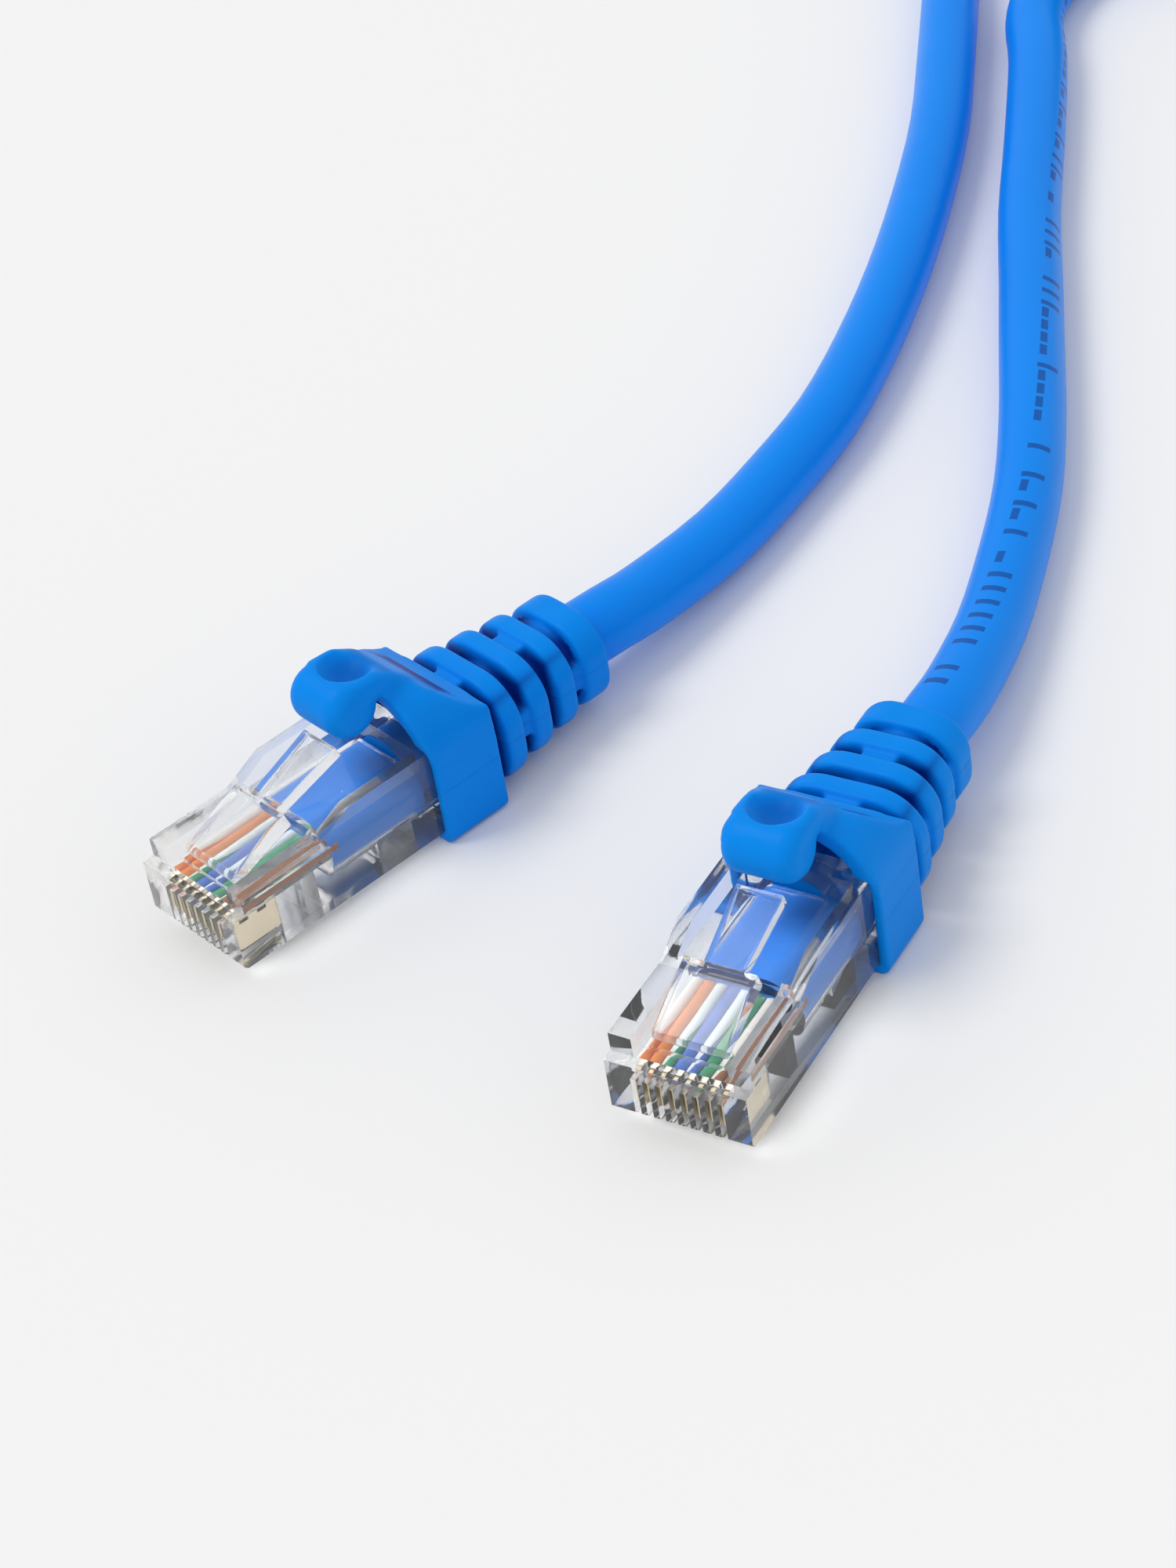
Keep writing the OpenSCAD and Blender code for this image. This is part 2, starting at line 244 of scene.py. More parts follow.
def new_object(name: str, mesh: bpy.types.Mesh) -> bpy.types.Object:
    """Put a mesh in the scene as an object at the origin."""
    made = bpy.data.objects.new(name, mesh)
    bpy.context.scene.collection.objects.link(made)
    return made


def settled(piece: bpy.types.Object, name: str) -> bpy.types.Mesh:
    """Give a new mesh with a piece's modifiers applied.

    Args:
        piece: the object.
        name: the new mesh's name.

    Returns:
        The mesh.
    """
    bpy.context.view_layer.update()
    graph = bpy.context.evaluated_depsgraph_get()
    mesh = bpy.data.meshes.new_from_object(piece.evaluated_get(graph))
    mesh.name = name
    return mesh


def place(piece: bpy.types.Object, placing: Placing) -> bpy.types.Object:
    """Set a piece's mesh down at its plug's place, and leave its object at the origin."""
    piece.data.transform(placing.matrix())
    return piece


def shade_smooth(mesh: bpy.types.Mesh, angle: float | None = None) -> None:
    """Shade a mesh smooth, with the edges over an angle in degrees kept sharp."""
    mesh.shade_smooth()
    if angle is not None:
        mesh.set_sharp_from_angle(angle=math.radians(angle))


# ---------------------------------------------------------------- node work


class Paint:
    """A material that is put together from nodes."""

    def __init__(self, name: str) -> None:
        """Make an empty material."""
        self.material = bpy.data.materials.new(name)
        self.material.use_nodes = True
        self.tree = self.material.node_tree
        self.tree.nodes.clear()
        self.out = self.node("ShaderNodeOutputMaterial")

    def node(self, kind: str, **settings: object) -> bpy.types.Node:
        """Add a node and set its own settings."""
        made = self.tree.nodes.new(kind)
        for key, value in settings.items():
            setattr(made, key, value)
        return made

    def link(self, source: bpy.types.NodeSocket, target: bpy.types.NodeSocket) -> None:
        """Join two sockets."""
        self.tree.links.new(source, target)

    def math(self, way: str, *values: object) -> bpy.types.NodeSocket:
        """Do sums on sockets and numbers.

        Args:
            way: the Math node's operation.
            values: its inputs, each a socket or a number.

        Returns:
            The result's socket.
        """
        made = self.node("ShaderNodeMath", operation=way)
        for slot, value in zip(made.inputs, values):
            if isinstance(value, bpy.types.NodeSocket):
                self.link(value, slot)
            else:
                slot.default_value = value
        return made.outputs[0]

    def group(self, tree: bpy.types.NodeTree, **values: object) -> bpy.types.Node:
        """Add a shared group with its own values."""
        made = self.node("ShaderNodeGroup", node_tree=tree)
        for key, value in values.items():
            socket = made.inputs[key.replace("_", " ")]
            if isinstance(value, bpy.types.NodeSocket):
                self.link(value, socket)
            else:
                socket.default_value = value
        return made

    def raised(
        self, height: bpy.types.NodeSocket, strength: float, distance: float,
        under: bpy.types.NodeSocket | None = None,
    ) -> bpy.types.NodeSocket:
        """Raise the surface a little.

        Args:
            height: the height's socket.
            strength: how much of it shows.
            distance: how far a height of 1 stands out, in metres.
            under: the normal that this lies on, if any.

        Returns:
            The normal's socket.
        """
        made = self.node("ShaderNodeBump")
        made.inputs["Strength"].default_value = strength
        made.inputs["Distance"].default_value = distance
        self.link(height, made.inputs["Height"])
        if under is not None:
            self.link(under, made.inputs["Normal"])
        return made.outputs["Normal"]

    def laid_over(
        self, below: bpy.types.NodeSocket, above: Colour, mask: bpy.types.NodeSocket
    ) -> bpy.types.NodeSocket:
        """Lay one colour over another where a mask says so."""
        made = self.node("ShaderNodeMix", data_type="RGBA")
        self.link(mask, made.inputs[0])
        self.link(below, made.inputs[6])
        made.inputs[7].default_value = rgba(above)
        return made.outputs[2]

    def shader(self, **values: object) -> bpy.types.Node:
        """Add the surface's shader, with each value set on its own socket or linked to it."""
        made = self.node("ShaderNodeBsdfPrincipled")
        for key, value in values.items():
            socket = made.inputs[key.replace("_", " ")]
            if isinstance(value, bpy.types.NodeSocket):
                self.link(value, socket)
            else:
                socket.default_value = value
        self.link(made.outputs[0], self.out.inputs["Surface"])
        return made


class Effects:
    """The shader node groups that several finishes share."""

    def __init__(self) -> None:
        """Build each group once."""
        self.grain = self._grain()
        self.mottle = self._mottle()

    @staticmethod
    def _start(name: str, inputs: dict[str, tuple[str, object]], outputs: dict[str, str]) -> bpy.types.NodeTree:
        """Make a group's tree with its sockets.

        Args:
            name: the group's name.
            inputs: each input's socket kind and first value.
            outputs: each output's socket kind.

        Returns:
            The tree.
        """
        tree = bpy.data.node_groups.new(name, "ShaderNodeTree")
        for key, (kind, value) in inputs.items():
            socket = tree.interface.new_socket(key, in_out="INPUT", socket_type=kind)
            if value is not None:
                socket.default_value = value
        for key, kind in outputs.items():
            tree.interface.new_socket(key, in_out="OUTPUT", socket_type=kind)
        return tree

    def _grain(self) -> bpy.types.NodeTree:
        """Build the fine satin grain of a moulding: a height and a roughness."""
        tree = self._start(
            "moulded_grain",
            {"Vector": ("NodeSocketVector", None), "Scale": ("NodeSocketFloat", 2000.0),
             "Rough": ("NodeSocketFloat", 0.4), "Spread": ("NodeSocketFloat", 0.1)},
            {"Height": "NodeSocketFloat", "Roughness": "NodeSocketFloat"},
        )
        nodes, links = tree.nodes, tree.links
        start, end = nodes.new("NodeGroupInput"), nodes.new("NodeGroupOutput")
        fine = nodes.new("ShaderNodeTexNoise")
        fine.inputs["Detail"].default_value = 4.0
        links.new(start.outputs["Vector"], fine.inputs["Vector"])
        links.new(start.outputs["Scale"], fine.inputs["Scale"])
        wide = nodes.new("ShaderNodeTexNoise")
        wide.inputs["Scale"].default_value = 160.0
        links.new(start.outputs["Vector"], wide.inputs["Vector"])
        centred = nodes.new("ShaderNodeMath")
        centred.operation = "SUBTRACT"
        centred.inputs[1].default_value = 0.5
        links.new(wide.outputs["Fac"], centred.inputs[0])
        rough = nodes.new("ShaderNodeMath")
        rough.operation = "MULTIPLY_ADD"
        links.new(centred.outputs[0], rough.inputs[0])
        links.new(start.outputs["Spread"], rough.inputs[1])
        links.new(start.outputs["Rough"], rough.inputs[2])
        links.new(fine.outputs["Fac"], end.inputs["Height"])
        links.new(rough.outputs[0], end.inputs["Roughness"])
        return tree

    def _mottle(self) -> bpy.types.NodeTree:
        """Build the slow change of a plastic's colour over its surface."""
        tree = self._start(
            "colour_drift",
            {"Vector": ("NodeSocketVector", None), "Colour": ("NodeSocketColor", (0.5, 0.5, 0.5, 1.0)),
             "Drift": ("NodeSocketColor", (0.4, 0.4, 0.4, 1.0)), "Scale": ("NodeSocketFloat", 120.0)},
            {"Colour": "NodeSocketColor"},
        )
        nodes, links = tree.nodes, tree.links
        start, end = nodes.new("NodeGroupInput"), nodes.new("NodeGroupOutput")
        cloud = nodes.new("ShaderNodeTexNoise")
        cloud.inputs["Detail"].default_value = 3.0
        links.new(start.outputs["Vector"], cloud.inputs["Vector"])
        links.new(start.outputs["Scale"], cloud.inputs["Scale"])
        blend = nodes.new("ShaderNodeMix")
        blend.data_type = "RGBA"
        links.new(cloud.outputs["Fac"], blend.inputs["Factor"])
        links.new(start.outputs["Colour"], blend.inputs[6])
        links.new(start.outputs["Drift"], blend.inputs[7])
        links.new(blend.outputs[2], end.inputs["Colour"])
        return tree


EFFECTS = Effects()


def rgba(colour: Colour) -> tuple[float, float, float, float]:
    """Give a colour with full cover."""
    return (*colour, 1.0)


def darker(colour: Colour, by: float) -> Colour:
    """Give a colour scaled in brightness."""
    return tuple(by * c for c in colour)


# ----------------------------------------------------------------- finishes


@dataclass(frozen=True)
class ClearPlastic:
    """Clear polycarbonate, glossy from its mould."""

    name: str = "clear_polycarbonate"
    tint: Colour = (0.985, 0.993, 1.0)
    bend: float = 1.2
    rough: float = 0.03
    clear: float = 0.97
    gloss: float = 0.5
    shadow: float = 0.97

    def build(self) -> bpy.types.Material:
        """Build the material: lamps shine through it, and it bends what is seen."""
        paint = Paint(self.name)
        place_on = paint.node("ShaderNodeTexCoord").outputs["Object"]
        grain = paint.group(EFFECTS.grain, Vector=place_on, Scale=900.0, Rough=self.rough, Spread=0.04)
        body = paint.shader(
            Base_Color=rgba(self.tint), Transmission_Weight=self.clear, IOR=self.bend, Coat_Weight=self.gloss,
            Roughness=grain.outputs["Roughness"], Normal=paint.raised(grain.outputs["Height"], 0.04, 0.0002),
        )
        through = paint.node("ShaderNodeBsdfTransparent")
        through.inputs["Color"].default_value = rgba(darker(self.tint, self.shadow))
        ray = paint.node("ShaderNodeLightPath")
        mix = paint.node("ShaderNodeMixShader")
        paint.link(ray.outputs["Is Shadow Ray"], mix.inputs["Fac"])
        paint.link(body.outputs[0], mix.inputs[1])
        paint.link(through.outputs[0], mix.inputs[2])
        paint.link(mix.outputs[0], paint.out.inputs["Surface"])
        return paint.material


@dataclass(frozen=True)
class SoftMoulding:
    """Soft blue vinyl of the boots, satin, with the raised line where its mould parts, and with painted shade: its
    colour turns dark in the gaps between the ribs, in the thumb's dip and under its visor.
    """

    name: str = "blue_boot"
    colour: Colour = (0.001, 0.27, 0.88)
    deep: Colour = (0.001, 0.225, 0.80)
    painted_cavity_shade: Colour = (0.0005, 0.03, 0.28)
    # painted shade: the dark blue laid into the boot's gaps, the thumb's dip and the way under its visor
    rough: float = 0.42
    shine: float = 0.06
    parting: float = 5.3 * MM
    parting_half: float = 0.00022

    def build(self) -> bpy.types.Material:
        """Build the material."""
        paint = Paint(self.name)
        place_on = paint.node("ShaderNodeTexCoord").outputs["Object"]
        grain = paint.group(EFFECTS.grain, Vector=place_on, Scale=2600.0, Rough=self.rough, Spread=0.16)
        tone = paint.group(EFFECTS.mottle, Vector=place_on, Colour=rgba(self.colour), Drift=rgba(self.deep))
        height = paint.node("ShaderNodeSeparateXYZ")
        paint.link(place_on, height.inputs[0])
        off = paint.math("ABSOLUTE", paint.math("SUBTRACT", height.outputs["Z"], self.parting))
        line = paint.node("ShaderNodeMapRange", interpolation_type="SMOOTHSTEP")
        for key, value in (("From Min", 0.0), ("From Max", self.parting_half), ("To Min", 1.0), ("To Max", 0.0)):
            line.inputs[key].default_value = value
        paint.link(off, line.inputs["Value"])
        ridge = paint.raised(line.outputs[0], 0.6, 0.0001)
        # painted shade: the stored share darkens the colour in the gaps, the thumb's dip and under the visor
        inside = paint.node("ShaderNodeAttribute", attribute_name="painted_cavity_shade").outputs["Fac"]
        paint.shader(
            Base_Color=paint.laid_over(tone.outputs["Colour"], self.painted_cavity_shade, inside),
            Roughness=grain.outputs["Roughness"],
            Normal=paint.raised(grain.outputs["Height"], 0.12, 0.00004, ridge), Specular_IOR_Level=self.shine,
        )
        return paint.material


@dataclass(frozen=True)
class Jacket:
    """Blue vinyl jacket, with a fine grain and, on the cable, a row of printed dashes."""

    name: str
    colour: Colour = (0.001, 0.265, 0.93)
    deep: Colour = (0.001, 0.23, 0.86)
    ink: Colour = (0.004, 0.045, 0.26)
    rough: float = 0.34
    shine: float = 0.1
    printed_to: float | None = None
    print_at: float = 0.46
    turns_a_metre: float = 2.4
    mark_step: float = 0.0021
    tall_half: float = 0.055
    flat_half: float = 0.018
    flat_drop: float = -0.03
    tall_share: float = 0.34
    flat_share: float = 0.78
    blank_share: float = 0.16
    cover: float = 0.72

    def build(self) -> bpy.types.Material:
        """Build the material."""
        paint = Paint(self.name)
        place_on = paint.node("ShaderNodeTexCoord").outputs["Object"]
        grain = paint.group(EFFECTS.grain, Vector=place_on, Scale=1500.0, Rough=self.rough, Spread=0.12)
        tone = paint.group(
            EFFECTS.mottle, Vector=place_on, Colour=rgba(self.colour), Drift=rgba(self.deep), Scale=60.0,
        )
        colour = tone.outputs["Colour"]
        if self.printed_to is not None:
            colour = self._printed(paint, colour)
        paint.shader(
            Base_Color=colour, Roughness=grain.outputs["Roughness"],
            Normal=paint.raised(grain.outputs["Height"], 0.10, 0.00005), Specular_IOR_Level=self.shine,
        )
        return paint.material

    def _printed(self, paint: Paint, colour: bpy.types.NodeSocket) -> bpy.types.NodeSocket:
        """Lay a row of plain dashes along the jacket.

        Args:
            paint: the material.
            colour: the jacket's colour.

        Returns:
            The colour with the dashes on it.
        """
        along = paint.node("ShaderNodeAttribute", attribute_name="along").outputs["Fac"]
        around = paint.node("ShaderNodeAttribute", attribute_name="around").outputs["Fac"]
        back = paint.math("SUBTRACT", self.printed_to, along)
        centre = paint.math("MULTIPLY_ADD", back, self.turns_a_metre, self.print_at)
        off = paint.math("SUBTRACT", around, centre)
        row = paint.math("COMPARE", off, 0.0, self.tall_half)
        lower = paint.math("COMPARE", off, self.flat_drop, self.flat_half)
        beat = paint.math("MULTIPLY", back, 1 / self.mark_step)
        part = paint.math("FRACT", beat)
        cell = paint.node("ShaderNodeTexWhiteNoise", noise_dimensions="1D")
        paint.link(paint.math("FLOOR", beat), cell.inputs["W"])
        tall = paint.math("MULTIPLY", paint.math("LESS_THAN", part, self.tall_share), row)
        flat = paint.math("MULTIPLY", paint.math("LESS_THAN", part, self.flat_share), lower)
        pick = paint.math("GREATER_THAN", cell.outputs["Value"], 0.5)
        gap = paint.math("GREATER_THAN", cell.outputs["Value"], self.blank_share)
        mark = paint.node("ShaderNodeMix", data_type="FLOAT")
        paint.link(pick, mark.inputs[0])
        paint.link(flat, mark.inputs[2])
        paint.link(tall, mark.inputs[3])
        inked = paint.math("MULTIPLY", paint.math("MULTIPLY", mark.outputs[0], gap), self.cover)
        return paint.laid_over(colour, self.ink, inked)


@dataclass(frozen=True)
class Metal:
    """Plated or bare metal."""

    name: str
    colour: Colour
    worn: Colour
    rough: float = 0.2

    def build(self) -> bpy.types.Material:
        """Build the material."""
        paint = Paint(self.name)
        place_on = paint.node("ShaderNodeTexCoord").outputs["Object"]
        grain = paint.group(EFFECTS.grain, Vector=place_on, Scale=4000.0, Rough=self.rough, Spread=0.2)
        tone = paint.group(
            EFFECTS.mottle, Vector=place_on, Colour=rgba(self.colour), Drift=rgba(self.worn), Scale=700.0,
        )
        paint.shader(
            Base_Color=tone.outputs["Colour"], Metallic=1.0, Roughness=grain.outputs["Roughness"],
            Normal=paint.raised(grain.outputs["Height"], 0.1, 0.00002),
        )
        return paint.material


@dataclass(frozen=True)
class Insulation:
    """Coloured plastic round a conductor, with a stripe that winds along a white one."""

    name: str
    colour: Colour
    stripe: Colour | None = None
    rough: float = 0.32
    turns_a_metre: float = 45.0
    stripe_at: float = 0.4
    stripe_half: float = 0.13

    def build(self) -> bpy.types.Material:
        """Build the material."""
        paint = Paint(self.name)
        place_on = paint.node("ShaderNodeTexCoord").outputs["Object"]
        grain = paint.group(EFFECTS.grain, Vector=place_on, Scale=3000.0, Rough=self.rough, Spread=0.1)
        tone = paint.group(
            EFFECTS.mottle, Vector=place_on, Colour=rgba(self.colour), Drift=rgba(darker(self.colour, 0.9)),
            Scale=500.0,
        )
        colour = tone.outputs["Colour"]
        if self.stripe is not None:
            along = paint.node("ShaderNodeAttribute", attribute_name="along").outputs["Fac"]
            around = paint.node("ShaderNodeAttribute", attribute_name="around").outputs["Fac"]
            turn = paint.math("FRACT", paint.math("MULTIPLY_ADD", along, self.turns_a_metre, around))
            band = paint.math("COMPARE", turn, self.stripe_at, self.stripe_half)
            colour = paint.laid_over(colour, self.stripe, band)
        paint.shader(Base_Color=colour, Roughness=grain.outputs["Roughness"], IOR=1.5)
        return paint.material


class Pin(Enum):
    """The insulation of each conductor, from pin 1 to pin 8."""

    WHITE_ORANGE = ("white_orange", (0.90, 0.84, 0.78), (0.86, 0.24, 0.03))
    ORANGE = ("orange", (0.86, 0.24, 0.03), None)
    WHITE_GREEN = ("white_green", (0.82, 0.88, 0.84), (0.03, 0.36, 0.16))
    BLUE = ("blue", (0.05, 0.17, 0.62), None)
    WHITE_BLUE = ("white_blue", (0.80, 0.86, 0.92), (0.05, 0.17, 0.62))
    GREEN = ("green", (0.03, 0.33, 0.15), None)
    WHITE_BROWN = ("white_brown", (0.87, 0.82, 0.76), (0.32, 0.12, 0.04))
    BROWN = ("brown", (0.32, 0.12, 0.04), None)

    def finish(self) -> Insulation:
        """Give the pin's finish."""
        return Insulation(*self.value)


class Palette:
    """Every finish of the cable, built once."""

    def __init__(self, cord_length: float) -> None:
        """Build the materials.

        Args:
            cord_length: the length of the cable's line, up to which its print is measured back.
        """
        self.clear = ClearPlastic().build()
        self.boot = SoftMoulding().build()
        # the jacket's end inside the plug: the same vinyl in a darker blue, painted shade for where it lies inside
        # the clear plug
        self.jacket = Jacket("blue_jacket", colour=(0.0003, 0.18, 0.60)).build()
        self.cable = Jacket("blue_jacket_printed", printed_to=cord_length).build()
        self.gold = Metal("gold_contact", (0.90, 0.80, 0.60), (0.84, 0.70, 0.48), 0.3).build()
        self.copper = Metal("copper_core", (0.88, 0.45, 0.26), (0.72, 0.34, 0.18), 0.25).build()
        self.wires = {pin: pin.finish().build() for pin in Pin}


# -------------------------------------------------------------------- tubes


@dataclass
class Tube:
    """A round tube that follows a line, with its way along and around kept on its points."""

    radius: float
    sides: int = 32

    def build(self, name: str, line: Sequence[Vector]) -> bpy.types.Object:
        """Draw a ring out along a line.

        Args:
            name: the piece's name.
            line: the centreline's points, in metres.

        Returns:
            The tube, closed at both ends.
        """
        bm = bmesh.new()
        along, around = bm.verts.layers.float.new("along"), bm.verts.layers.float.new("around")
        ring = bmesh.ops.create_circle(bm, cap_ends=False, radius=self.radius, segments=self.sides)["verts"]
        for k, vert in enumerate(ring):
            vert[around] = k / self.sides
        rest = [-v.co for v in ring]  # so that the seam of "around" runs along the bottom
        first, gone = list(ring), 0.0
        for i, point in enumerate(line):
            if i:
                gone += (point - line[i - 1]).length
                near_ring = dict.fromkeys(e for v in ring for e in v.link_edges)
                edges = [e for e in near_ring if all(v in ring for v in e.verts)]
                grown = bmesh.ops.extrude_edge_only(bm, edges=edges)["geom"]
                fresh = [v for v in grown if isinstance(v, bmesh.types.BMVert)]
                near = {v: next(e.other_vert(v) for e in v.link_edges if e.other_vert(v) in ring) for v in fresh}
                back = {old: new for new, old in near.items()}
                ring = [back[v] for v in ring]
            turn = self._stand(line, i)
            for k, vert in enumerate(ring):
                vert.co = point + turn @ rest[k]
                vert[along], vert[around] = gone, k / self.sides
        for end in (first, ring):
            bmesh.ops.contextual_create(bm, geom=end)
        bmesh.ops.recalc_face_normals(bm, faces=bm.faces)
        piece = new_object(name, Form(bm).mesh(name))
        shade_smooth(piece.data, 50)
        return piece

    @staticmethod
    def _stand(line: Sequence[Vector], i: int) -> Matrix:
        """Turn a flat ring to stand across the line at one of its points, with its second axis upwards."""
        ahead = (line[min(i + 1, len(line) - 1)] - line[max(i - 1, 0)]).normalized()
        side = ahead.cross(Vector((0, 0, 1))).normalized()
        up = side.cross(ahead)
        return Matrix((side, up, ahead)).transposed()


def eased(points: Sequence[Vector], steps: int) -> list[Vector]:
    """Draw a smooth line through points.

    Args:
        points: the points.
        steps: how many parts each gap is cut into.

    Returns:
        The line's points.
    """
    line = []
    for i in range(len(points) - 1):
        p0, p1 = points[max(i - 1, 0)], points[i]
        p2, p3 = points[i + 1], points[min(i + 2, len(points) - 1)]
        for k in range(steps):
            t = k / steps
            line.append(
                0.5 * (2 * p1 + (p2 - p0) * t + (2 * p0 - 5 * p1 + 4 * p2 - p3) * t * t
                       + (3 * p1 - p0 - 3 * p2 + p3) * t ** 3)
            )
    return line + [points[-1]]


def smooth(t: float) -> float:
    """Ease a share from 0 to 1."""
    t = min(1.0, max(0.0, t))
    return t * t * (3 - 2 * t)


def step(value: float, over: tuple[float, float]) -> float:
    """Ease from 0 to 1 over a stretch, given by where it starts and how long it is."""
    start, length = over
    return smooth((value - start) / length)


# -------------------------------------------------------------------- cable


@dataclass
class PatchCord:
    """The cable from boot to boot: two leads, and its spare length in a coil behind them."""

    plug_a: Placing
    plug_b: Placing
    diameter: float = 6.0
    length: float = 0.838
    exit_y: float = 41.15
    exit_z: float = 4.1
    coil_at: tuple[float, float] = (-18.72, 192.78)
    coil_turn: float = math.radians(24)
    outer: float = 32.7
    inner: float = 26.7
    bend: float = 24.0
    low: float = 3.0
    high: float = 9.0
    wound: int = 990
    inwards: tuple[float, float] = (300, 60)
    outwards: tuple[float, float] = (735, 240)
    upwards: tuple[float, float] = (660, 60)
    downwards: tuple[float, float] = (70, 60)
    route_a: tuple[tuple[float, float, float], ...] = (
        (-8.5, 30, 4.2), (-7, 40, 3.3), (-6.5, 50, 3), (-6.5, 60, 3), (-8, 71, 3), (-10.5, 83, 3),
        (-14, 96, 3), (-18.5, 110, 3), (-24, 123.5, 3), (-29.5, 136.5, 3), (-35.5, 150, 3),
        (-41.5, 163.5, 3),
    )
    route_b: tuple[tuple[float, float, float], ...] = (
        (22, 27, 4.4), (20.5, 36, 3.4), (18, 46, 3), (15, 56, 3), (11, 66, 3), (6.5, 76, 3),
        (2, 86, 3), (-3, 97, 3), (-8, 109.5, 3), (-14, 124, 3),
    )

    def by_coil(self, side: float, ahead: float, z: float) -> Vector:
        """Give a point beside and ahead of the coil's middle, in metres."""
        c, s = math.cos(self.coil_turn), math.sin(self.coil_turn)
        x, y = self.coil_at
        return MM * Vector((x + side * c - ahead * s, y + side * s + ahead * c, z))

    def coil(self) -> list[Vector]:
        """Wind two and three quarter turns: out, in beside them, and up on top of them."""
        turns = []
        for angle in range(0, self.wound + 1, 6):
            radius = self.outer + (self.inner - self.outer) * step(angle, self.inwards)
            radius += (self.outer - self.inner) * step(angle, self.outwards)
            z = self.low + (self.high - self.low) * step(angle, self.upwards)
            a = math.radians(angle)
            turns.append(self.by_coil(-radius * math.cos(a), radius * math.sin(a), z))
        return turns

    def unwind(self) -> list[Vector]:
        """Bend off the coil and come down to the table."""
        points = []
        for angle in range(15, 91, 15):
            a = math.radians(angle)
            start, length = self.downwards
            z = self.low + (self.high - self.low) * smooth((start - angle) / length)
            ahead = -self.outer - self.bend * (1 - math.cos(a))
            points.append(self.by_coil(-self.bend * math.sin(a), ahead, z))
        return points

    def centreline(self) -> list[Vector]:
        """Give the cable's whole line, from boot A to boot B."""
        start = self.plug_a.point(0, self.exit_y, self.exit_z)
        end = self.plug_b.point(0, self.exit_y, self.exit_z)
        straight_a = [start, self.plug_a.point(0, self.exit_y + 4, self.exit_z - 0.15)]
        straight_b = [self.plug_b.point(0, self.exit_y + 3.5, self.exit_z - 0.1), end]
        lead_a = [MM * Vector(p) for p in self.route_a]
        lead_b = [MM * Vector(p) for p in reversed(self.route_b)]
        return eased(straight_a + lead_a + self.coil() + self.unwind() + lead_b + straight_b, 3)

    def build(self, line: Sequence[Vector], palette: Palette) -> bpy.types.Object:
        """Make the cable, in place of the CAD leads and coil.

        Args:
            line: its centreline.
            palette: the finishes.

        Returns:
            The cable.
        """
        cord = Tube(self.diameter * MM / 2, 40).build("patch_cord", line)
        cord.data.materials.append(palette.cable)
        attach(cord, "cable")
        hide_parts("cable_lead_a", "cable_lead_b", "cable_coil")
        return cord


# --------------------------------------------------------------------- boot


